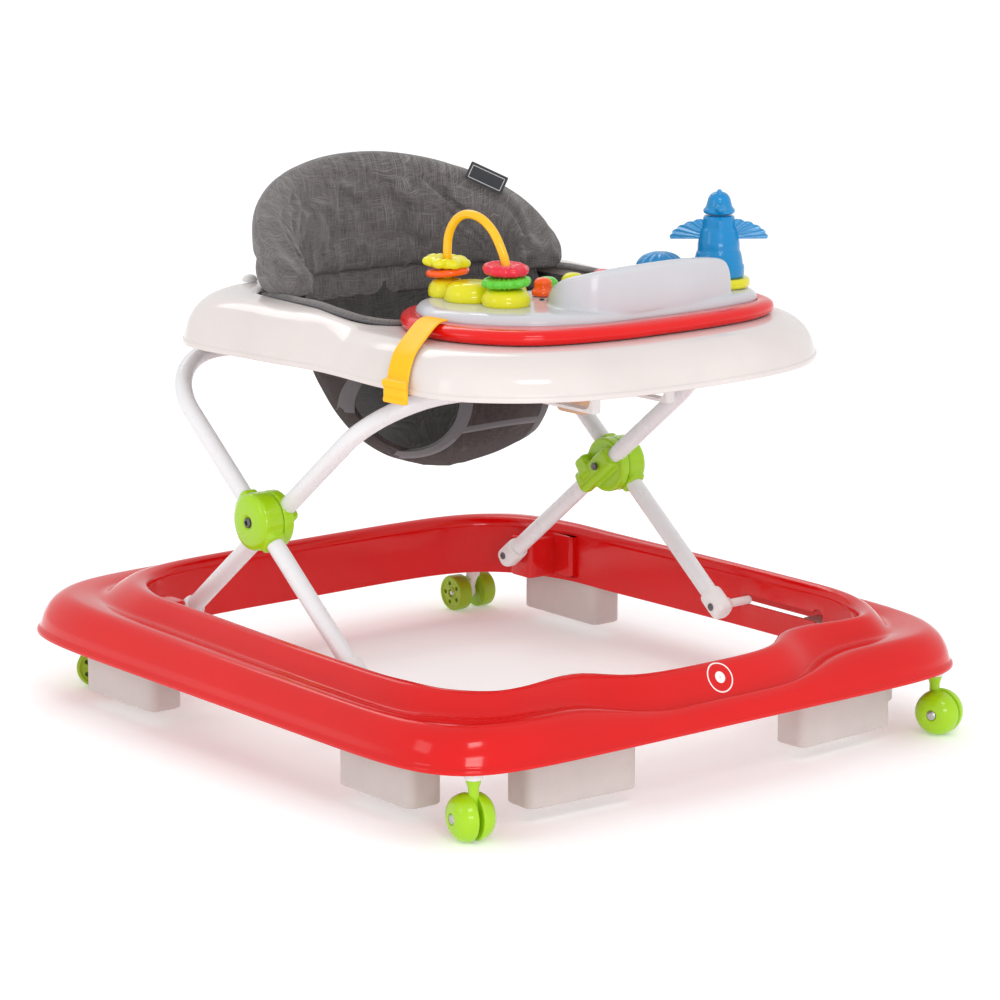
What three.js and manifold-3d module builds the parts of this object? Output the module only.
// Folding baby walker: a moulded base on four casters, a scissor frame of two U-shaped
// tubes, a seat ring with a fabric seat, and a lift-off play tray with toys.
// Millimetres, +Z up. The origin is on the floor under the middle of the base, the toy tray
// is towards -Y and the child's back is towards +Y.
import * as THREE from "three";
import { mergeVertices } from "three/addons/utils/BufferGeometryUtils.js";
import Module from "manifold-3d";

// ---- driving dimensions -------------------------------------------------------------
const GAP = 0.3; // working gap between neighbouring pieces

const BASE_HALF_WIDTH = 310;
const BASE_HALF_LENGTH = 343;
const BASE_LIP_Z = 59.6;
const BASE_INNER_Z = 54.5; // lower edge of the inner wall
const BASE_CREST_Z = 112;
const BASE_WALL = 3;

const BLOCK_BOTTOM_Z = 14;
const BLOCK_TOP_Z = 75.7;

const FRONT_WHEEL_RADIUS = 20.5;
const FRONT_CASTER_AT = [263, -315];
const REAR_WHEEL_RADIUS = 18;
const REAR_CASTER_AT = [231, 311];

const TUBE_RADIUS = 8;
const TUBE_BEND = 70;
const LEG_A_X = 209; // outer tube, rear top to front bottom
const LEG_B_X = 192; // inner tube, front top to rear bottom
const BASE_PIVOT = [201, 82]; // y and z of the fixed foot pivot
const LOWER_ARM = 183;
const UPPER_ARM = 204;
const REST_ANGLE = THREE.MathUtils.degToRad(38.3);
const KNUCKLE_RADIUS = 26;
const BOLT_RADIUS = 3;

const RING_LIP_Z = 341;
const RING_FRONT_Z = 378.5;
const RING_REAR_Z = 385.5;
const RING_WALL = 3;

const TRAY_BOTTOM_Z = 379.3;
const RIM_TOP_Z = 391.8;
const CONSOLE_BOTTOM_Z = 388.6;
const DECK_Z = 399.4;
const FENCE_TOP_Z = 436;

const SEAT_LOW_Z = 220;

// ---- colours ------------------------------------------------------------------------
const RED = 0xe43a37;
const WHITE = 0xeee8e6;
const TUBE_WHITE = 0xe6e5e7;
const LIME = 0xa5d21e;
const STONE = 0xc3b7b4;
const METAL = 0x9a9a9c;
const FABRIC = 0x696764;
const YELLOW = 0xffc328;
const CLOVER = 0xe1dc28;
const ORANGE = 0xff6e28;
const GREEN = 0x6ed246;
const BLUE = 0x2da0dc;
const CONSOLE_GREY = 0xe1e2e6;
const BEIGE = 0xcda587;

// ---- scene graph helpers ------------------------------------------------------------
const wasm = await Module();
wasm.setup();
const walker = new THREE.Group();

function piece(name, shape, color, roughness = 0.4, metalness = 0) {
  const geometry = shape.isBufferGeometry ? shape : geometryOf(shape);
  const material = new THREE.MeshStandardMaterial({ color, roughness, metalness });
  const mesh = new THREE.Mesh(geometry, material);
  mesh.name = name;
  walker.add(mesh);
  return mesh;
}

function solidOf(geometry) {
  const bare = geometry.index ? geometry.toNonIndexed() : geometry.clone();
  bare.deleteAttribute("normal");
  bare.deleteAttribute("uv");
  const merged = mergeVertices(bare, 1e-4);
  const vertProperties = new Float32Array(merged.attributes.position.array);
  const triVerts = new Uint32Array(merged.index.array);
  return new wasm.Manifold(new wasm.Mesh({ numProp: 3, vertProperties, triVerts }));
}

function geometryOf(solid) {
  const mesh = solid.getMesh();
  const geometry = new THREE.BufferGeometry();
  const positions = new Float32Array(mesh.numVert * 3);
  for (let i = 0; i < mesh.numVert; i++) {
    const at = i * mesh.numProp;
    positions.set(mesh.vertProperties.subarray(at, at + 3), i * 3);
  }
  geometry.setAttribute("position", new THREE.BufferAttribute(positions, 3));
  geometry.setIndex(new THREE.BufferAttribute(mesh.triVerts, 1));
  geometry.computeVertexNormals();
  return geometry;
}

// ---- basic shapes -------------------------------------------------------------------
function box(x0, x1, y0, y1, z0, z1) {
  const g = new THREE.BoxGeometry(x1 - x0, y1 - y0, z1 - z0);
  return solidOf(g.translate((x0 + x1) / 2, (y0 + y1) / 2, (z0 + z1) / 2));
}

// Profile points are [radius, height along the axis]; "x" and "z" name the axis.
function turned(profile, axis, at, segments = 20) {
  const points = profile.map(([r, h]) => new THREE.Vector2(r, h));
  const g = new THREE.LatheGeometry(points, segments);
  if (axis === "x") g.rotateZ(-Math.PI / 2);
  if (axis === "z") g.rotateX(Math.PI / 2);
  return solidOf(g.translate(...at));
}

function rod(radius, from, to, axis, at, segments = 20) {
  return turned([[0, from], [radius, from], [radius, to], [0, to]], axis, at, segments);
}

function prism(points, depth) {
  const shape = new THREE.Shape(points.map(([x, y]) => new THREE.Vector2(x, y)));
  return new THREE.ExtrudeGeometry(shape, { depth, bevelEnabled: false, curveSegments: 4 });
}

function roundedPrism(width, length, depth, radius, corner = 3) {
  const x = width / 2 - radius;
  const y = length / 2 - radius;
  const shape = new THREE.Shape();
  shape.absarc(x, y, radius, 0, Math.PI / 2);
  shape.absarc(-x, y, radius, Math.PI / 2, Math.PI);
  shape.absarc(-x, -y, radius, Math.PI, 1.5 * Math.PI);
  shape.absarc(x, -y, radius, 1.5 * Math.PI, 2 * Math.PI);
  return new THREE.ExtrudeGeometry(shape, { depth, bevelEnabled: false, curveSegments: corner });
}

// ---- lofts --------------------------------------------------------------------------
// Sections are closed polygons with the same number of points. A closed loft joins the last
// section to the first; an open loft has a flat fan at each end.
function loft(sections, closed = false) {
  const n = sections.length;
  const m = sections[0].length;
  const positions = sections.flat().flatMap((p) => [p.x, p.y, p.z]);
  const index = [];
  for (let i = 0; i < (closed ? n : n - 1); i++) {
    const next = ((i + 1) % n) * m;
    for (let j = 0; j < m; j++) {
      const k = (j + 1) % m;
      index.push(i * m + j, next + j, next + k, i * m + j, next + k, i * m + k);
    }
  }
  if (!closed) {
    for (const [row, turn] of [[0, 1], [n - 1, -1]]) {
      const centre = sections[row].reduce((s, p) => s.add(p), new THREE.Vector3());
      centre.divideScalar(m);
      const hub = positions.length / 3;
      positions.push(centre.x, centre.y, centre.z);
      for (let j = 0; j < m; j++) {
        const pair = [row * m + j, row * m + ((j + 1) % m)];
        index.push(hub, ...(turn > 0 ? pair : pair.reverse()));
      }
    }
  }
  return outward(positions, index);
}

function outward(positions, index) {
  const point = (i) => new THREE.Vector3().fromArray(positions, 3 * index[i]);
  let volume = 0;
  for (let i = 0; i < index.length; i += 3) {
    volume += point(i).dot(point(i + 1).cross(point(i + 2)));
  }
  if (volume < 0) index.reverse();
  const geometry = new THREE.BufferGeometry();
  geometry.setAttribute("position", new THREE.Float32BufferAttribute(positions, 3));
  geometry.setIndex(index);
  geometry.computeVertexNormals();
  return geometry;
}

// A path through stations given in advance, so a straight length takes one step.
class StationPath extends THREE.Curve {
  constructor(stations) {
    super();
    this.stations = stations;
  }
  indexAt(u) {
    return Math.round(u * (this.stations.length - 1));
  }
  getPoint(u) {
    return this.stations[this.indexAt(u)].clone();
  }
  getPointAt(u) {
    return this.getPoint(u);
  }
  getTangentAt(u) {
    const i = this.indexAt(u);
    const before = this.stations[Math.max(0, i - 1)];
    const after = this.stations[Math.min(this.stations.length - 1, i + 1)];
    const inward = this.stations[i].clone().sub(before).normalize();
    const outwards = after.clone().sub(this.stations[i]).normalize();
    return inward.add(outwards).normalize();
  }
}

function tubeAlong(stations, radius, sides) {
  const shape = new THREE.Shape(
    Array.from({ length: sides }, (_, i) => {
      const a = (2 * Math.PI * i) / sides;
      return new THREE.Vector2(radius * Math.cos(a), radius * Math.sin(a));
    }),
  );
  return new THREE.ExtrudeGeometry(shape, {
    steps: stations.length - 1,
    extrudePath: new StationPath(stations),
  });
}

// Stations along straight lines whose corners are rounded with arcs of the given radius.
function filleted(corners, radius, steps = 6) {
  const out = [corners[0].clone()];
  for (let i = 1; i < corners.length - 1; i++) {
    const back = corners[i - 1].clone().sub(corners[i]).normalize();
    const ahead = corners[i + 1].clone().sub(corners[i]).normalize();
    const half = back.angleTo(ahead) / 2;
    const bisector = back.clone().add(ahead).normalize();
    const centre = corners[i].clone().addScaledVector(bisector, radius / Math.sin(half));
    const from = corners[i].clone().addScaledVector(back, radius / Math.tan(half)).sub(centre);
    const to = corners[i].clone().addScaledVector(ahead, radius / Math.tan(half)).sub(centre);
    const sweep = from.angleTo(to);
    for (let k = 0; k <= steps; k++) {
      const a = (sweep * k) / steps;
      const p = from.clone().multiplyScalar(Math.sin(sweep - a) / Math.sin(sweep));
      out.push(p.addScaledVector(to, Math.sin(a) / Math.sin(sweep)).add(centre));
    }
  }
  out.push(corners[corners.length - 1].clone());
  return out;
}

// ---- plan outlines ------------------------------------------------------------------
// A closed outline symmetric about x = 0, from the points of its +X half, front to rear.
function symmetricOutline(half, samples = 240) {
  const right = half.map(([x, y]) => new THREE.Vector3(x, y, 0));
  const left = half
    .filter(([x]) => x > 0)
    .map(([x, y]) => new THREE.Vector3(-x, y, 0))
    .reverse();
  return smoothOutline([...right, ...left], samples);
}

function smoothOutline(points, samples = 240) {
  return new THREE.CatmullRomCurve3(points, true, "centripetal").getPoints(samples).slice(1);
}

function superellipse(a, b, frontPower, rearPower, samples = 240) {
  return Array.from({ length: samples }, (_, i) => {
    const t = (2 * Math.PI * (i + 0.5)) / samples;
    const power = 2 / (Math.sin(t) < 0 ? frontPower : rearPower);
    const x = a * Math.sign(Math.cos(t)) * Math.abs(Math.cos(t)) ** power;
    return new THREE.Vector3(x, b * Math.sign(Math.sin(t)) * Math.abs(Math.sin(t)) ** power, 0);
  });
}

// Where the ray from the centre at an angle crosses an outline.
function crossing(outline, centre, angle) {
  const along = new THREE.Vector2(Math.cos(angle), Math.sin(angle));
  let best = null;
  let reach = -1;
  outline.forEach((p, i) => {
    const q = outline[(i + 1) % outline.length];
    const a = new THREE.Vector2(p.x - centre[0], p.y - centre[1]);
    const b = new THREE.Vector2(q.x - centre[0], q.y - centre[1]);
    const sa = along.cross(a);
    const sb = along.cross(b);
    if (sa * sb > 0 || sa === sb) return;
    const t = sa / (sa - sb);
    const r = a.lerp(b, t).dot(along);
    if (r > reach) {
      reach = r;
      best = new THREE.Vector3(centre[0] + r * along.x, centre[1] + r * along.y, 0);
    }
  });
  return best;
}

// Angles spread by arc length and by turning, so corners get more stations than straights.
function stationAngles(outline, centre, count, turnWeight) {
  const n = outline.length;
  const weight = [0];
  const direction = (i) => {
    const p = outline[i % n];
    const q = outline[(i + 1) % n];
    return Math.atan2(q.y - p.y, q.x - p.x);
  };
  for (let i = 0; i < n; i++) {
    const p = outline[i];
    const q = outline[(i + 1) % n];
    const turn = Math.abs(Math.atan2(
      Math.sin(direction(i + 1) - direction(i)),
      Math.cos(direction(i + 1) - direction(i)),
    ));
    weight.push(weight[i] + Math.hypot(q.x - p.x, q.y - p.y) + turnWeight * turn);
  }
  const total = weight[n];
  return Array.from({ length: count }, (_, k) => {
    const target = (total * (k + 0.5)) / count;
    const i = weight.findIndex((w) => w > target) - 1;
    const t = (target - weight[i]) / (weight[i + 1] - weight[i]);
    const p = outline[i].clone().lerp(outline[(i + 1) % n], t);
    return Math.atan2(p.y - centre[1], p.x - centre[0]);
  });
}

// A ring body: at each station the profile gives [fraction from outer to inner edge, z].
function ringBody(outer, inner, centre, angles, profile) {
  const sections = angles.map((angle) => {
    const o = crossing(outer, centre, angle);
    const i = crossing(inner, centre, angle);
    const depth = o.distanceTo(i);
    return profile(o, i, depth).map(([f, z]) => o.clone().lerp(i, f).setZ(z));
  });
  return solidOf(loft(sections, true));
}

const lerp = THREE.MathUtils.lerp;
const smooth = THREE.MathUtils.smoothstep;

// ---- base shell ---------------------------------------------------------------------
const baseOutline = superellipse(BASE_HALF_WIDTH, BASE_HALF_LENGTH, 8.3, 8);
const baseOpening = symmetricOutline([
  [0, -294], [40, -292.5], [78, -286], [108, -270], [134, -269], [202, -271], [230, -242],
  [245, -194], [247, -119], [240, 100], [236, 179], [211, 235], [170, 262], [0, 271],
]);

function baseHeights(outer) {
  const rear = smooth(outer.y, -BASE_HALF_LENGTH, BASE_HALF_LENGTH);
  const nose = smooth(-outer.y, 290, 335) * (1 - smooth(Math.abs(outer.x), 60, 185));
  return {
    shoulder: lerp(lerp(97, 100, rear), 86.5, nose),
    groove: lerp(lerp(90, 94.5, rear), 81, nose),
    crest: lerp(BASE_CREST_Z, BASE_CREST_Z - 4, nose),
    grooveAt: lerp(0.6, 0.45, nose),
    crestAt: lerp(0.88, 0.84, nose),
  };
}

function baseProfile(outer, inner, depth) {
  const { shoulder, groove, crest, grooveAt, crestAt } = baseHeights(outer);
  const rise = shoulder - 66.5;
  return [
    [0, BASE_LIP_Z],
    [0, 63.6],
    [0.035, 66.5],
    [0.05, 66.5 + 0.42 * rise],
    [0.1, 66.5 + 0.82 * rise],
    [0.2, shoulder],
    [0.2 + 0.6 * (grooveAt - 0.2), lerp(shoulder, groove, 0.5)],
    [grooveAt, groove],
    [grooveAt + 0.4 * (crestAt - grooveAt), lerp(groove, crest, 0.55)],
    [grooveAt + 0.75 * (crestAt - grooveAt), lerp(groove, crest, 0.9)],
    [crestAt, crest],
    [1 - 3 / depth, crest - 2],
    [1, crest - 8],
    [1, BASE_INNER_Z],
    [1 - BASE_WALL / depth, BASE_INNER_Z],
    [1 - (BASE_WALL + 0.5) / depth, BASE_LIP_Z],
  ];
}

function baseCavityProfile(outer, inner, depth) {
  const { shoulder, groove, crest, grooveAt, crestAt } = baseHeights(outer);
  const wall = BASE_WALL / depth;
  return [
    [wall, BASE_LIP_Z - 1],
    [0.05 + wall, 66.5 + 0.3 * (shoulder - 66.5)],
    [0.11 + wall, 62.5 + 0.78 * (shoulder - 66.5)],
    [0.24, shoulder - BASE_WALL - 0.5],
    [grooveAt, groove - BASE_WALL],
    [grooveAt + 0.55 * (crestAt - grooveAt), lerp(groove, crest, 0.6) - BASE_WALL - 0.8],
    [crestAt, crest - BASE_WALL],
    [1 - wall, crest - BASE_WALL - 7],
    [1 - wall, BASE_LIP_Z - 1],
  ];
}

// Brake blocks: [name, x, y, size in x, size in y, turn about Z in degrees].
const BLOCK_TOE = 9; // the side front blocks reach this far in under the inner wall
const BLOCKS = [
  ["brake_block_front_left", -150, -297, 110, 36, -3],
  ["brake_block_front_right", 150, -297, 110, 36, 3],
  ["brake_block_side_front_left", -265.5, -200, 27, 102, 0],
  ["brake_block_side_front_right", 265.5, -200, 27, 102, 0],
  ["brake_block_side_rear_left", -260.5, 185.5, 35, 105, 0],
  ["brake_block_side_rear_right", 260.5, 185.5, 35, 105, 0],
];

// The slots, in the inner side walls, that guide the feet of leg frame A.
const SLOT_FRONT_Y = -184;
const SLOT_REAR_Y = -78;
const SLOT_HALF_HEIGHT = 4.6;

const WALL_FACE_X = 233; // the pockets start inside the opening and end in the wall's hollow
const POCKET_END_X = 246;
const SLOT_END_X = 262;

function wallBox(side, endX, y0, y1, z0, z1) {
  const ends = [side * WALL_FACE_X, side * endX];
  return box(Math.min(...ends), Math.max(...ends), y0, y1, z0, z1);
}

function slotCuts(side) {
  const z = BASE_PIVOT[1];
  const cuts = [
    wallBox(side, SLOT_END_X, SLOT_FRONT_Y, SLOT_REAR_Y, z - SLOT_HALF_HEIGHT,
      z + SLOT_HALF_HEIGHT),
    rod(7.5, -15, 15, "x", [side * 247, SLOT_FRONT_Y + 4, z + 1], 14),
  ];
  for (let i = 0; i < 3; i++) {
    const y = -168 + 31 * i;
    cuts.push(wallBox(side, POCKET_END_X, y, y + 25, 93.5, 98.5));
    cuts.push(wallBox(side, POCKET_END_X, y, y + 25, 66, 70.5));
  }
  return cuts;
}

function baseShell() {
  const centre = [0, -5];
  const angles = stationAngles(baseOutline, centre, 52, 420);
  const body = ringBody(baseOutline, baseOpening, centre, angles, baseProfile);
  let cavity = ringBody(baseOutline, baseOpening, centre, angles, baseCavityProfile);
  const bosses = [];
  for (const [, x, y, w, l] of BLOCKS) {
    bosses.push(box(x - w / 2 - 12, x + w / 2 + 12, y - l / 2 - 2, y + l / 2 + 2, 76, 79));
  }
  for (const side of [-1, 1]) {
    bosses.push(rod(11, 58, 110, "z", [side * FRONT_CASTER_AT[0], FRONT_CASTER_AT[1], 0], 14));
    bosses.push(rod(11, 58, 110, "z", [side * REAR_CASTER_AT[0], REAR_CASTER_AT[1], 0], 14));
  }
  for (const boss of bosses) cavity = cavity.subtract(boss);
  let shell = body.subtract(cavity);
  for (const side of [-1, 1]) {
    const inner = side > 0 ? 204 : -239;
    const post = box(inner, inner + 35, BASE_PIVOT[0] - 15, BASE_PIVOT[0] + 15, 60, 97);
    shell = shell.add(post);
    shell = shell.subtract(rod(4.4, -40, 40, "x", [side * 220, ...BASE_PIVOT], 14));
    for (const cut of slotCuts(side)) shell = shell.subtract(cut);
    const front = [side * FRONT_CASTER_AT[0], FRONT_CASTER_AT[1], 0];
    const rear = [side * REAR_CASTER_AT[0], REAR_CASTER_AT[1], 0];
    shell = shell.subtract(rod(4.4, 50, 80, "z", front, 12));
    shell = shell.subtract(rod(5.4, 50, 80, "z", rear, 12));
  }
  return shell;
}

piece("base_shell", baseShell(), RED, 0.18);

for (const [name, x, y, w, l, turn] of BLOCKS) {
  let shape = roundedPrism(w, l, BLOCK_TOP_Z - BLOCK_BOTTOM_Z, 9);
  if (name.includes("side_front")) {
    const toe = roundedPrism(w + BLOCK_TOE, l, BASE_INNER_Z - BLOCK_BOTTOM_Z - 1, 9);
    toe.translate((-Math.sign(x) * BLOCK_TOE) / 2, 0, 0);
    shape = geometryOf(solidOf(shape).add(solidOf(toe)));
  }
  const block = piece(name, shape, STONE, 0.75);
  block.rotation.z = THREE.MathUtils.degToRad(turn);
  block.position.set(x, y, BLOCK_BOTTOM_Z);
}

// ---- front casters: swivelling stem, twin-dome wheel and its axle ---------------------
const FRONT_TRAIL = 5;
const FRONT_YAW = { left: 10, right: 160 };

// Local frame: the stem axis is Z, the wheel trails towards +Y, the axle runs along X.
function frontStem() {
  const z = FRONT_WHEEL_RADIUS;
  const neck = turned(
    [[0, 30], [4.4, 30], [4.4, 52], [6.2, 52.5], [6.2, 59.3], [3.9, 59.3], [3.9, 78], [0, 78]],
    "z", [0, 0, 0], 12,
  );
  const cheek = roundedPrism(26, 17, 6.4, 7, 1);
  cheek.rotateY(Math.PI / 2).translate(-3.2, FRONT_TRAIL - 1, z + 3);
  const hub = rod(7, -3.2, 3.2, "x", [0, FRONT_TRAIL, z], 12);
  return neck.add(solidOf(cheek)).add(hub).subtract(rod(2.4, -9, 9, "x", [0, FRONT_TRAIL, z], 12));
}

// One dome on each side of the stem, joined by a hollow sleeve that turns in the hub.
function frontWheel() {
  const r = FRONT_WHEEL_RADIUS;
  const dome = [
    [1.3, 4.8], [r - 1, 4.8], [r, 6.5], [0.95 * r, 11], [0.78 * r, 15.5], [4.6, 18.6],
    [4.6, 16.4], [1.3, 16.4],
  ];
  const left = dome.map(([radius, x]) => [radius, -x]);
  const at = [0, FRONT_TRAIL, r];
  const sleeve = [[1.3, -5.5], [2.1, -5.5], [2.1, 5.5], [1.3, 5.5]];
  const close = (profile) => [...profile, profile[0]];
  return turned(close(dome), "x", at, 14)
    .add(turned(close(left.reverse()), "x", at, 14))
    .add(turned(close(sleeve), "x", at, 8));
}

function frontAxle() {
  const at = [0, FRONT_TRAIL, FRONT_WHEEL_RADIUS];
  return turned(
    [[0, -18.4], [3.2, -18.4], [3.2, -16.8], [1, -16.8], [1, 16.8], [3.2, 16.8], [3.2, 18.4],
      [0, 18.4]],
    "x", at, 8,
  );
}

for (const side of ["left", "right"]) {
  const frame = new THREE.Group();
  const sign = side === "left" ? -1 : 1;
  frame.position.set(sign * FRONT_CASTER_AT[0], FRONT_CASTER_AT[1], 0);
  frame.rotation.z = THREE.MathUtils.degToRad(-FRONT_YAW[side]);
  frame.add(piece(`front_caster_stem_${side}`, frontStem(), LIME, 0.35));
  frame.add(piece(`front_wheel_${side}`, frontWheel(), LIME, 0.3));
  frame.add(piece(`front_axle_${side}`, frontAxle(), METAL, 0.3, 0.9));
  walker.add(frame);
}

// ---- rear casters: swivelling fork, twin-disc wheel and its axle ----------------------
const REAR_TRAIL = 8;
const REAR_YAW = { left: 128, right: 0 };

function rearFork() {
  const z = REAR_WHEEL_RADIUS;
  const stem = turned(
    [[0, 40], [7.5, 40], [7.5, 59.2], [5, 59.2], [5, 78], [0, 78]], "z", [0, 0, 0], 12,
  );
  const t = REAR_TRAIL;
  const plate = prism([
    [-8, 46], [t - 6.5, z - 5], [t - 3, z - 8], [t + 3, z - 8], [t + 6.5, z - 5], [8, 46],
  ], 8);
  plate.rotateX(Math.PI / 2).rotateZ(Math.PI / 2).translate(-4, 0, 0);
  return stem.add(solidOf(plate)).subtract(rod(2.9, -9, 9, "x", [0, t, z], 10));
}

function rearWheel() {
  const r = REAR_WHEEL_RADIUS;
  const disc = [
    [1.6, 7.6], [r - 0.8, 7.6], [r, 8.8], [r, 21.6], [r - 1.4, 23], [4, 23], [4, 20.5],
    [1.6, 20.5],
  ];
  const left = disc.map(([radius, x]) => [radius, -x]).reverse();
  const sleeve = [[1.6, -9], [2.6, -9], [2.6, 9], [1.6, 9]];
  const close = (profile) => [...profile, profile[0]];
  const at = [0, REAR_TRAIL, r];
  return turned(close(disc), "x", at, 14)
    .add(turned(close(left), "x", at, 14))
    .add(turned(close(sleeve), "x", at, 8));
}

function rearAxle() {
  return turned(
    [[0, -22.3], [3, -22.3], [3, -20.9], [1.3, -20.9], [1.3, 20.9], [3, 20.9], [3, 22.3],
      [0, 22.3]],
    "x", [0, REAR_TRAIL, REAR_WHEEL_RADIUS], 8,
  );
}

for (const side of ["left", "right"]) {
  const frame = new THREE.Group();
  const sign = side === "left" ? -1 : 1;
  frame.position.set(sign * REAR_CASTER_AT[0], REAR_CASTER_AT[1], 0);
  frame.rotation.z = THREE.MathUtils.degToRad(-REAR_YAW[side]);
  frame.add(piece(`rear_caster_fork_${side}`, rearFork(), WHITE, 0.4));
  frame.add(piece(`rear_wheel_${side}`, rearWheel(), LIME, 0.35));
  frame.add(piece(`rear_axle_${side}`, rearAxle(), METAL, 0.3, 0.9));
  walker.add(frame);
}

// ---- scissor frame ------------------------------------------------------------------
const reach = (s, towards) => [
  BASE_PIVOT[0] - LOWER_ARM * Math.cos(REST_ANGLE) + towards * s * Math.cos(REST_ANGLE),
  BASE_PIVOT[1] + LOWER_ARM * Math.sin(REST_ANGLE) + s * Math.sin(REST_ANGLE),
];
const CROSS = reach(0, 1); // y and z of the centre pivot
const legA = (s) => reach(s, 1); // s > 0 runs up and back to the ring, s < 0 down to the slot
const legB = (s) => reach(s, -1); // s > 0 runs up and forward, s < 0 down to the base pivot
const FOOT_END = -LOWER_ARM + 6;

function uTube(x, line) {
  const corners = [
    new THREE.Vector3(-x, ...line(FOOT_END)),
    new THREE.Vector3(-x, ...line(UPPER_ARM)),
    new THREE.Vector3(x, ...line(UPPER_ARM)),
    new THREE.Vector3(x, ...line(FOOT_END)),
  ];
  const bar = solidOf(tubeAlong(filleted(corners, TUBE_BEND, 5), TUBE_RADIUS, 10));
  return bar.subtract(rod(BOLT_RADIUS + GAP, -240, 240, "x", [0, ...CROSS], 10));
}

// A turned or boxed shape made about the origin with Z along the leg, set down at a place.
function alongLeg(solid, x, line, s) {
  const [y0, z0] = line(s);
  const [y1, z1] = line(s + 1);
  const tilt = -Math.atan2(y1 - y0, z1 - z0);
  const place = new THREE.Matrix4().makeRotationX(tilt).setPosition(x, y0, z0);
  return solid.transform(place.elements);
}

// End cap over the foot of a tube, with its pin and the screw head on the inner face.
function foot(side, x, line, pinLength) {
  const cap = roundedPrism(20, 20, 34, 6, 2).translate(0, 0, -10);
  let solid = solidOf(cap).subtract(rod(TUBE_RADIUS + GAP, 5.7, 40, "z", [0, 0, 0], 12));
  const pin = side > 0 ? [9, 9 + pinLength] : [-9 - pinLength, -9];
  solid = solid.add(rod(4, ...pin, "x", [0, 0, 0], 12));
  const head = side > 0 ? [-11, -9] : [9, 11];
  solid = solid.add(rod(3.4, ...head, "x", [0, 0, 0], 8));
  return alongLeg(solid, x * side, line, -LOWER_ARM);
}

// Drum of the outer knuckle on leg A, and the inner knuckle on leg B with its housing.
function outerKnuckle(side) {
  const r = KNUCKLE_RADIUS;
  const profile = [
    [0, -7.8], [r, -7.8], [r, 10], [r - 2.5, 13.2], [5, 14.4], [5, 12.4], [0, 12.4],
  ];
  let solid = turned(profile, "x", [0, 0, 0], 18);
  if (side < 0) solid = solid.mirror([1, 0, 0]);
  solid = solid.subtract(rod(TUBE_RADIUS + GAP, -40, 40, "z", [0, 0, 0], 12));
  solid = solid.subtract(rod(BOLT_RADIUS + GAP, -20, 20, "x", [0, 0, 0], 10));
  return alongLeg(solid, LEG_A_X * side, legA, 0);
}

function innerKnuckle(side) {
  const r = KNUCKLE_RADIUS;
  let solid = turned(
    [[0, -2], [r, -2], [r, 8.7], [0, 8.7]], "x", [0, 0, 0], 18,
  );
  const grip = solidOf(new THREE.BoxGeometry(16.5, 25, 58).translate(-5.8, 0, -7));
  solid = solid.add(grip);
  solid = solid.subtract(solidOf(new THREE.BoxGeometry(20, 30, 8).rotateX(0.5)
    .translate(-5.8, -10, -38)));
  if (side < 0) solid = solid.mirror([1, 0, 0]);
  solid = solid.subtract(rod(TUBE_RADIUS + GAP, -60, 60, "z", [0, 0, 0], 12));
  solid = solid.subtract(rod(BOLT_RADIUS + GAP, -20, 20, "x", [0, 0, 0], 10));
  return alongLeg(solid, LEG_B_X * side, legB, 0);
}

function crossBolt(side) {
  const inner = LEG_B_X - 14.3;
  const outer = LEG_A_X + 12.7;
  const profile = [
    [0, inner - 3], [5, inner - 3], [5, inner], [BOLT_RADIUS, inner], [BOLT_RADIUS, outer],
    [4.6, outer], [4.6, outer + 2.6], [0, outer + 2.6],
  ];
  const solid = turned(profile, "x", [0, ...CROSS], 8);
  return side > 0 ? solid : solid.mirror([1, 0, 0]);
}

piece("leg_frame_a", uTube(LEG_A_X, legA), TUBE_WHITE, 0.35);
piece("leg_frame_b", uTube(LEG_B_X, legB), TUBE_WHITE, 0.35);
for (const [side, word] of [[-1, "left"], [1, "right"]]) {
  piece(`leg_a_foot_${word}`, foot(side, LEG_A_X, legA, 30), TUBE_WHITE, 0.4);
  piece(`leg_b_foot_${word}`, foot(side, LEG_B_X, legB, 34), TUBE_WHITE, 0.4);
  piece(`outer_knuckle_${word}`, outerKnuckle(side), LIME, 0.35);
  piece(`inner_knuckle_${word}`, innerKnuckle(side), LIME, 0.35);
  piece(`cross_bolt_${word}`, crossBolt(side), METAL, 0.3, 0.9);
}

// ---- seat ring ------------------------------------------------------------------------
const ringOutline = symmetricOutline([
  [0, -293.2], [136.1, -272.2], [205, -209.1], [211.7, -125], [206.9, -30.3], [217.6, 64.3],
  [218.5, 158.9], [160, 216.8], [0, 232.5],
]);
const ringOpening = symmetricOutline([
  [0, -62], [80, -64], [132, -61], [154, -34], [161, 0], [159, 63], [157, 97], [152, 136],
  [120, 168], [70, 185], [0, 190],
]);

function ringHeights(outer) {
  const rear = smooth(outer.y, -60, 40);
  const waist = Math.exp(-(((outer.y + 22) / 26) ** 2));
  return { top: lerp(RING_FRONT_Z, RING_REAR_Z, rear), waist };
}

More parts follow.
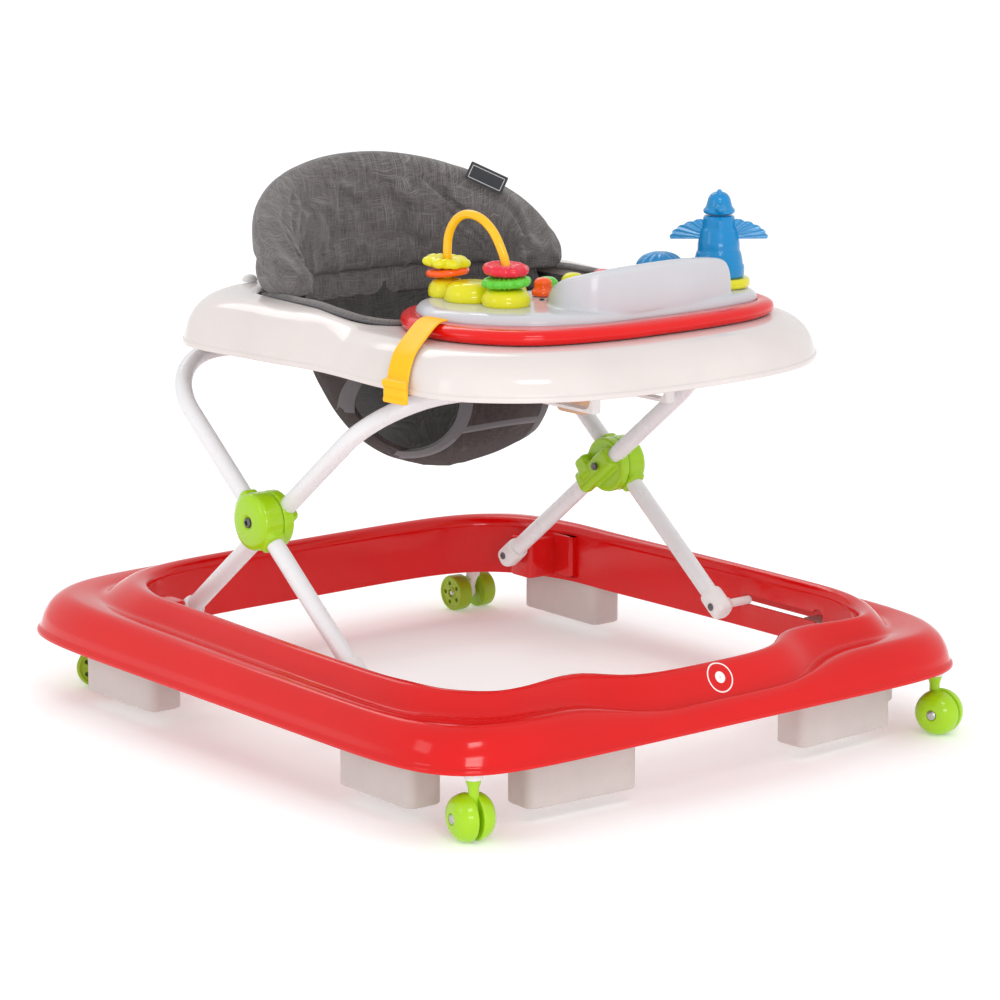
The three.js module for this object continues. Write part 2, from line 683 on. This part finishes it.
function ringProfile(outer, inner, depth) {
  const { top, waist } = ringHeights(outer);
  const rise = top - 347;
  const run = Math.min(42, 0.76 * depth) / depth;
  const at = (share) => run * share;
  return [
    [0, RING_LIP_Z],
    [0, 345],
    [2.2 / depth, 347],
    [at(0.12), 347 + 0.36 * rise],
    [at(0.27 + 0.06 * waist), 347 + 0.64 * rise],
    [at(0.5 + 0.05 * waist), 347 + 0.86 * rise],
    [at(0.75), 347 + 0.97 * rise],
    [at(1), top],
    [1 - 6 / depth, top],
    [1 - 1.5 / depth, top - 1.5],
    [1, top - 6],
    [1, 362],
    [1 - RING_WALL / depth, 362],
    [1 - RING_WALL / depth, top - 6.5],
    [at(1), top - RING_WALL],
    [at(0.58), 347 + 0.86 * rise - RING_WALL],
    [at(0.24) + RING_WALL / depth, 347 + 0.4 * rise - 1],
    [RING_WALL / depth, 347],
    [RING_WALL / depth, RING_LIP_Z],
  ];
}

const CLAMP_X = 72;
const RAIL_X = 42;
const REAR_BAR = legA(UPPER_ARM);
const FRONT_BAR = legB(UPPER_ARM);
const RAIL_FRONT_Y = FRONT_BAR[0] - 91;
const RAIL_REAR_Y = FRONT_BAR[0] + 2;

function ringShell() {
  const centre = [0, 10];
  const angles = stationAngles(ringOutline, centre, 44, 160);
  let shell = ringBody(ringOutline, ringOpening, centre, angles, ringProfile);
  for (const side of [-1, 1]) {
    const clampX = side * CLAMP_X;
    const railX = side * RAIL_X;
    shell = shell.add(box(clampX - 13, clampX + 13, REAR_BAR[0] - 15, REAR_BAR[0] - 5,
      RING_LIP_Z, 378));
    shell = shell.add(box(railX - 5, railX + 5, RAIL_FRONT_Y - 6, RAIL_REAR_Y + 5,
      RING_LIP_Z, 376.5));
  }
  return shell;
}
piece("ring_shell", ringShell(), WHITE, 0.15);

function rearClamp(side) {
  const [y, z] = REAR_BAR;
  const x = side * CLAMP_X;
  const body = box(x - 13, x + 13, y - 12, y + 11.5, z - 12, RING_LIP_Z - GAP);
  return body.subtract(rod(TUBE_RADIUS + GAP, -20, 20, "x", [x, y, z], 14));
}

function frontRail(side) {
  const [y, z] = FRONT_BAR;
  const x = side * RAIL_X;
  const body = box(x - 5, x + 5, RAIL_FRONT_Y - 12, RAIL_REAR_Y + 12, z - 11.3,
    RING_LIP_Z - GAP);
  const r = TUBE_RADIUS + GAP;
  const slot = box(x - 9, x + 9, RAIL_FRONT_Y, y, z - r, z + r);
  return body.subtract(slot)
    .subtract(rod(r, -9, 9, "x", [x, RAIL_FRONT_Y, z], 14))
    .subtract(rod(r, -9, 9, "x", [x, y, z], 14));
}

// The latch slide grips the middle of the front crossbar and rides with it.
function heightLatch() {
  const [y, z] = FRONT_BAR;
  const grip = box(-11, 11, y - 13, y + 13, z - 13, z + 12);
  const paddle = box(-12, 12, y - 46, y - 12, z - 25, z + 3);
  return grip.add(paddle).subtract(rod(TUBE_RADIUS + GAP, -20, 20, "x", [0, y, z], 14));
}

function seatPlug() {
  return turned([[0, 0], [7, 0], [7, 2.5], [5, 5.5], [0, 6.5]], "z", [0, 0, 0], 12);
}

for (const [side, word] of [[-1, "left"], [1, "right"]]) {
  piece(`rear_clamp_${word}`, rearClamp(side), WHITE, 0.45);
  piece(`front_rail_${word}`, frontRail(side), WHITE, 0.45);
  piece(`seat_plug_${word}`, seatPlug(), WHITE, 0.35).position.set(side * 124, 191, 386);
}
piece("height_latch", heightLatch(), BEIGE, 0.5);

// ---- fabric seat ----------------------------------------------------------------------
// Upright pad round the back and sides: [x, y, top z, thickness] from middle to wing.
const BACK_HALF = [
  [0, 189, 498, 24], [38, 187, 496, 24], [76, 179, 489, 24], [108, 163, 478, 26],
  [131, 143, 464, 30], [142, 122, 448, 36], [144, 103, 430, 40], [138, 86, 409, 40],
];
const BACK_BOTTOM_Z = 386.4;
const BACK_LEAN = 6; // how far the top edge leans outwards at full height

function backrest() {
  const left = BACK_HALF.slice(1).map(([x, ...rest]) => [-x, ...rest]).reverse();
  const stations = [...left, ...BACK_HALF];
  const sections = stations.map(([x, y, top, thickness], i) => {
    const a = stations[Math.max(0, i - 1)];
    const b = stations[Math.min(stations.length - 1, i + 1)];
    const out = new THREE.Vector3(a[1] - b[1], b[0] - a[0], 0).normalize();
    const half = thickness / 2;
    const height = top - BACK_BOTTOM_Z;
    const at = (offset, z) => {
      const tilt = BACK_LEAN * ((z - BACK_BOTTOM_Z) / 112) ** 2;
      return new THREE.Vector3(x, y, z).addScaledVector(out, offset + tilt);
    };
    const z = (share) => BACK_BOTTOM_Z + share * height;
    const round = Math.min(10, 0.4 * height);
    return [
      at(-half + 4, BACK_BOTTOM_Z), at(half - 4, BACK_BOTTOM_Z), at(half, z(0.25)),
      at(half, z(0.6)), at(half - 1.5, top - round), at(0.55 * half, top - 0.3 * round),
      at(0, top), at(-0.55 * half, top - 0.3 * round), at(-half + 1.5, top - round),
      at(-half, z(0.6)), at(-half, z(0.25)),
    ];
  });
  return loft(sections);
}

// Hanging seat: [z, half width, front y, rear y, share of the ring opening's shape].
const SLING_LEVELS = [
  [378.5, 0, 0, 0, 1], [362, 155, -60, 184, 1], [342, 150, -60, 176, 0.5],
  [322, 142, -58, 168, 0], [300, 128, -50, 156, 0], [275, 112, -36, 142, 0],
  [252, 88, -12, 124, 0], [234, 60, 18, 104, 0], [SEAT_LOW_Z, 22, 48, 84, 0],
];
const SLING_THICKNESS = 4.5;
const SLING_INSET = 2.2; // between the sling and the ring's inner wall

function slingBody(inset, topZ, count) {
  const centre = [0, 60];
  const sections = SLING_LEVELS.map(([z, a, front, rear, share], level) => {
    const height = level === 0 ? topZ : z + inset;
    return Array.from({ length: count }, (_, i) => {
      const angle = (2 * Math.PI * (i + 0.5)) / count;
      const ring = crossing(ringOpening, centre, angle);
      const r = Math.hypot(ring.x - centre[0], ring.y - centre[1]);
      const k = (r - SLING_INSET - inset - 1.5 * level) / r;
      const tucked = new THREE.Vector3(ring.x * k, lerp(centre[1], ring.y, k), height);
      const hanging = new THREE.Vector3(
        (a - inset) * Math.cos(angle),
        (front + rear) / 2 + ((rear - front) / 2 - inset) * Math.sin(angle),
        height,
      );
      return hanging.lerp(tucked, share);
    });
  });
  return solidOf(loft(sections));
}

// A leg hole faces forward and out on each side of the middle panel.
const LEG_HOLE = { x: 84, y: 5, z: 296, halfWidth: 44, halfHeight: 50, facing: 25.5 };

function legHole(side) {
  const { x, y, z, halfWidth, halfHeight, facing } = LEG_HOLE;
  const shape = new THREE.Shape();
  shape.absellipse(0, 0, halfWidth, halfHeight, 0, 2 * Math.PI);
  const hole = new THREE.ExtrudeGeometry(shape, { depth: 130, bevelEnabled: false,
    curveSegments: 7 });
  hole.rotateX(Math.PI / 2).translate(0, 28, 0);
  hole.rotateZ(side * THREE.MathUtils.degToRad(facing)).translate(side * x, y, z);
  return solidOf(hole);
}

function seatSling() {
  const inner = slingBody(SLING_THICKNESS, 392, 24);
  let sling = slingBody(0, SLING_LEVELS[0][0], 24).subtract(inner);
  for (const side of [-1, 1]) sling = sling.subtract(legHole(side));
  return sling;
}

piece("backrest", backrest(), FABRIC, 0.9);
piece("seat_sling", seatSling(), FABRIC, 0.9);

// ---- play tray --------------------------------------------------------------------------
const point = ([x, y]) => new THREE.Vector3(x, y, 0);
const rimOutline = smoothOutline([
  [0, -243], [62, -241], [121, -230.5], [160, -207.5], [176, -165], [169, -110], [147, -62],
  [92, -44], [40, -56], [0, -60], [-40, -49], [-84, -32], [-122, -41], [-150, -72],
  [-164, -104], [-167, -146], [-149, -192], [-118, -222], [-47, -241],
].map(point));
const consoleOutline = smoothOutline([
  [0, -216.5], [43, -217.5], [102, -213], [145, -201], [165, -171], [159, -120], [136, -74],
  [90, -55], [40, -66], [0, -71], [-42, -58], [-84, -41], [-117, -52], [-138, -81],
  [-146, -110], [-139, -142], [-122, -172], [-97, -196], [-46, -214.5],
].map(point));
const TRAY_CENTRE = [5, -145];

// Stacked copies of an outline, each pulled in by an inset: [inset, z] from the bottom up.
function stacked(outline, levels, count) {
  const angles = stationAngles(outline, TRAY_CENTRE, count, 60);
  const sections = levels.map(([inset, z]) => angles.map((angle) => {
    const p = crossing(outline, TRAY_CENTRE, angle);
    const r = Math.hypot(p.x - TRAY_CENTRE[0], p.y - TRAY_CENTRE[1]);
    const k = (r - inset) / r;
    return new THREE.Vector3(lerp(TRAY_CENTRE[0], p.x, k), lerp(TRAY_CENTRE[1], p.y, k), z);
  }));
  return solidOf(loft(sections));
}

const BUTTONS = [
  ["button_green", -4, -92, GREEN], ["button_yellow", 29, -88, CLOVER],
  ["button_red", 64, -88, RED],
];
const BUTTON_RADIUS = 11;
const DIAL_AT = [112, -110];
const KNOB_AT = [-25, -112];
const BIRD_AT = [132, -165];
const BIRD_YAW = -38;

piece("tray_rim", stacked(rimOutline, [
  [3, TRAY_BOTTOM_Z], [0.5, TRAY_BOTTOM_Z + 2.5], [0, 385], [2, 389.5], [7, RIM_TOP_Z],
  [17, RIM_TOP_Z - 0.6], [20, CONSOLE_BOTTOM_Z - GAP],
], 36).subtract(stacked(consoleOutline, [
  [-0.4, CONSOLE_BOTTOM_Z - GAP], [-0.4, 396],
], 36)), RED, 0.2);

// Raised fence round the front of the console: [x, y, top z].
const FENCE = [
  [-24, -133, 402], [-43, -151, 412], [-51, -176, 424], [-44, -196, 431], [-22, -205.5, 435],
  [15, -207.5, FENCE_TOP_Z], [55, -206.5, FENCE_TOP_Z], [88, -202, 433.5], [106, -197, 430],
  [112, -194.5, 425],
];

function fence() {
  const sections = FENCE.map(([x, y, top], i) => {
    const a = FENCE[Math.max(0, i - 1)];
    const b = FENCE[Math.min(FENCE.length - 1, i + 1)];
    const out = new THREE.Vector3(b[1] - a[1], a[0] - b[0], 0).normalize();
    const at = (offset, z) => new THREE.Vector3(x, y, z).addScaledVector(out, offset);
    return [
      at(-7, DECK_Z - 2), at(-6, lerp(DECK_Z, top, 0.5)), at(-4.5, top - 2), at(-1, top),
      at(2.5, top - 0.7), at(4.8, top - 3.5), at(7, lerp(DECK_Z, top, 0.5)), at(9, DECK_Z - 2),
    ];
  });
  return solidOf(loft(sections));
}

function consoleBody() {
  let body = stacked(consoleOutline, [
    [0.5, CONSOLE_BOTTOM_Z], [0, 391.5], [2.2, 395.5], [6.5, 398.4], [13, DECK_Z],
  ], 36).add(fence());
  for (const [, x, y] of BUTTONS) {
    body = body.subtract(rod(BUTTON_RADIUS + 0.4, 393, 405, "z", [x, y, 0], 16));
  }
  body = body.subtract(rod(3.4, 392, 405, "z", [...KNOB_AT, 0], 10));
  body = body.subtract(rod(3.4, 392, 405, "z", [...DIAL_AT, 0], 10));
  body = body.subtract(rod(4.4, 392, 405, "z", [...BIRD_AT, 0], 10));
  for (const [x, y] of LOBES.slice(0, 2)) {
    body = body.subtract(rod(3.4, 392, 405, "z", [x, y, 0], 8));
  }
  return body;
}

// ---- toys -------------------------------------------------------------------------------
const LOBES = [ // x, y, radius, height; the arch stands on the first two
  [-82, -132, 21, 14.8], [-88, -58, 17, 16], [-87, -90, 24, 17.5], [-56, -100, 18, 14],
];

function cloverBase() {
  const z = DECK_Z + GAP;
  let body = null;
  for (const [x, y, r, height] of LOBES) {
    const lobe = turned([
      [0, z], [r, z], [r, z + 0.4 * height], [r - 2.5, z + 0.72 * height],
      [r - 8, z + height - 0.8], [0, z + height],
    ], "z", [x, y, 0], 12);
    body = body ? body.add(lobe) : lobe;
  }
  for (const [x, y] of LOBES.slice(0, 2)) {
    body = body.subtract(rod(4.2, z + 2, 420, "z", [x, y, 0], 12));
  }
  return body;
}

const ARCH_RADIUS = 3.9;
// Arch in its own plane: [share of the way from the left foot to the right foot, z].
const ARCH = [
  [0, 402.5], [0, 443], [0.02, 452], [0.07, 460], [0.17, 468], [0.31, 472.7], [0.46, 473],
  [0.62, 469.5], [0.78, 461], [0.9, 449], [0.98, 437], [1, 428], [1, 402.5],
];

function arch() {
  const stations = ARCH.map(([share, z]) => new THREE.Vector3(
    lerp(LOBES[1][0], LOBES[0][0], share), lerp(LOBES[1][1], LOBES[0][1], share), z,
  ));
  return tubeAlong(stations, ARCH_RADIUS, 10);
}

// A flat ring bead with lobed or plain edge: its hole is wide enough to slide and spin.
function bead(radius, petals, depth, thickness) {
  const count = petals ? petals * 2 : 16;
  const points = Array.from({ length: count }, (_, i) => {
    const a = (2 * Math.PI * i) / count;
    const r = radius - (petals && i % 2 === 0 ? depth : 0);
    return [r * Math.cos(a), r * Math.sin(a)];
  });
  const edge = 0.22 * thickness;
  const section = (k, z) => points.map(([x, y]) => new THREE.Vector3(k * x, k * y, z));
  const body = solidOf(loft([
    section(0.88, -thickness / 2), section(1, -edge), section(1, edge),
    section(0.88, thickness / 2),
  ]));
  return body.subtract(rod(5.4, -9, 9, "z", [0, 0, 0], 10));
}

// Yellow straps over the rim and down the skirt: [distance in from the lip, z] on their
// centre lines. The tray is wider on the right, so the upper ends differ.
const CLIP_LIP = [217, -154];
const CLIP_SKIRT = [
  [37.3, 380.9], [25.3, 378.2], [13.3, 371.2], [6, 361], [2.3, 351], [0.2, 343], [0, 334],
];
const CLIP_OVER_RIM = {
  left: [[72, 394], [61, 394.2], [55, 393.6], [50.6, 390.3], [49.4, 385], [44.6, 381.8]],
  right: [[53.6, 394.2], [49.6, 394], [44.6, 391.5], [42.6, 386.4], [40.4, 382.6]],
};
const CLIP_WIDTH = 26;

function trayClip(side, word) {
  const inward = new THREE.Vector3(-0.917 * side, 0.399, 0);
  const across = new THREE.Vector3(0.08 * side, 0.997, 0).multiplyScalar(CLIP_WIDTH / 2);
  const path = [...CLIP_OVER_RIM[word], ...CLIP_SKIRT];
  const lip = new THREE.Vector3(CLIP_LIP[0] * side, CLIP_LIP[1], 0);
  const middle = path.map(([u, z]) => lip.clone().addScaledVector(inward, u).setZ(z));
  const sections = middle.map((p, i) => {
    const before = middle[Math.max(0, i - 1)];
    const after = middle[Math.min(middle.length - 1, i + 1)];
    const along = after.clone().sub(before).normalize();
    const half = i < path.length - 2 ? 1.1 : 1.9;
    const normal = across.clone().normalize().cross(along).multiplyScalar(half);
    return [[1, 1], [-1, 1], [-1, -1], [1, -1]].map(([a, n]) => p.clone()
      .addScaledVector(across, a).addScaledVector(normal, n));
  });
  return loft(sections);
}

function birdBody() {
  const z = DECK_Z + GAP + 8.6;
  let body = turned([
    [0, z], [22.5, z], [23, z + 11], [21.5, z + 14], [20.5, z + 17], [17.5, z + 30],
    [15.5, z + 33], [10, z + 52], [6.5, z + 55], [0, z + 55],
  ], "z", [0, 0, 0], 14);
  const wing = [];
  for (let i = 0; i <= 10; i++) {
    const a = (Math.PI * i) / 10;
    wing.push([40 * Math.cos(a), 18 * Math.sin(a)]);
  }
  const wings = prism(wing, 5).rotateX(Math.PI / 2).translate(0, 2.5, z + 34);
  body = body.add(solidOf(wings));
  const crest = new THREE.BoxGeometry(6, 7, 20).rotateX(0.25).translate(0, -13.5, z + 43);
  return body.add(solidOf(crest));
}

function birdHead() {
  const z = DECK_Z + GAP + 8.6 + 55.3;
  const head = turned([
    [0, z], [6, z], [12.5, z + 3], [12.5, z + 5.5], [10.5, z + 10], [8.5, z + 16],
    [4.5, z + 20], [0, z + 21],
  ], "z", [0, 0, 0], 14);
  const beak = turned([[0, -3], [6, -2], [4, 6], [0, 8]], "z", [0, 0, 0], 8);
  const tilt = new THREE.Matrix4().makeRotationX(Math.PI / 2).setPosition(0, -11, z + 6);
  return head.add(beak.transform(tilt.elements));
}

piece("console", consoleBody(), CONSOLE_GREY, 0.25);
piece("clover_base", cloverBase(), CLOVER, 0.3);
piece("arch", arch(), YELLOW, 0.3);
for (const [name, lobe, z, radius, petals, depth, thick, color] of [
  ["bead_flower", 1, 429.4, 22, 7, 4.5, 7.5, CLOVER],
  ["bead_orange", 1, 420.4, 19.5, 0, 0, 7, ORANGE],
  ["bead_red", 0, 430.4, 20.5, 9, 1.2, 9, RED],
  ["bead_green", 0, 419.4, 22, 12, 2.2, 8, GREEN],
]) {
  const shape = bead(radius, petals, depth, thick);
  piece(name, shape, color, 0.3).position.set(LOBES[lobe][0], LOBES[lobe][1], z);
}
for (const [name, x, y, color] of BUTTONS) {
  const r = BUTTON_RADIUS;
  piece(name, turned([
    [0, 0], [r, 0], [r, 8.5], [r - 2, 12.5], [r - 6, 15], [0, 16],
  ], "z", [0, 0, 0], 16), color, 0.3).position.set(x, y, 396.4);
}
piece("knob_orange", turned([
  [0, 393], [3, 393], [3, 399.8], [10, 399.8], [10, 404], [8, 406], [8, 412],
  [5, 415], [0, 416],
], "z", [0, 0, 0], 14), ORANGE, 0.35).position.set(...KNOB_AT, 0);
piece("dial_blue", turned([
  [0, 393], [3, 393], [3, 399.8], [23, 399.8], [23, 411], [21, 418], [14, 424],
  [0, 426.5],
], "z", [0, 0, 0], 18), BLUE, 0.25).position.set(...DIAL_AT, 0);
piece("bird_base", turned([
  [0, 393], [4, 393], [4, DECK_Z + GAP], [27, DECK_Z + GAP], [28, 401.5], [28, 406.5],
  [26.5, 408], [0, 408],
], "z", [0, 0, 0], 18), CLOVER, 0.3).position.set(...BIRD_AT, 0);
for (const [name, shape] of [["bird_body", birdBody()], ["bird_head", birdHead()]]) {
  const part = piece(name, shape, BLUE, 0.25);
  part.position.set(...BIRD_AT, 0);
  part.rotation.z = THREE.MathUtils.degToRad(BIRD_YAW);
}
for (const [side, word] of [[-1, "left"], [1, "right"]]) {
  piece(`tray_clip_${word}`, trayClip(side, word), YELLOW, 0.45);
}

export default walker;
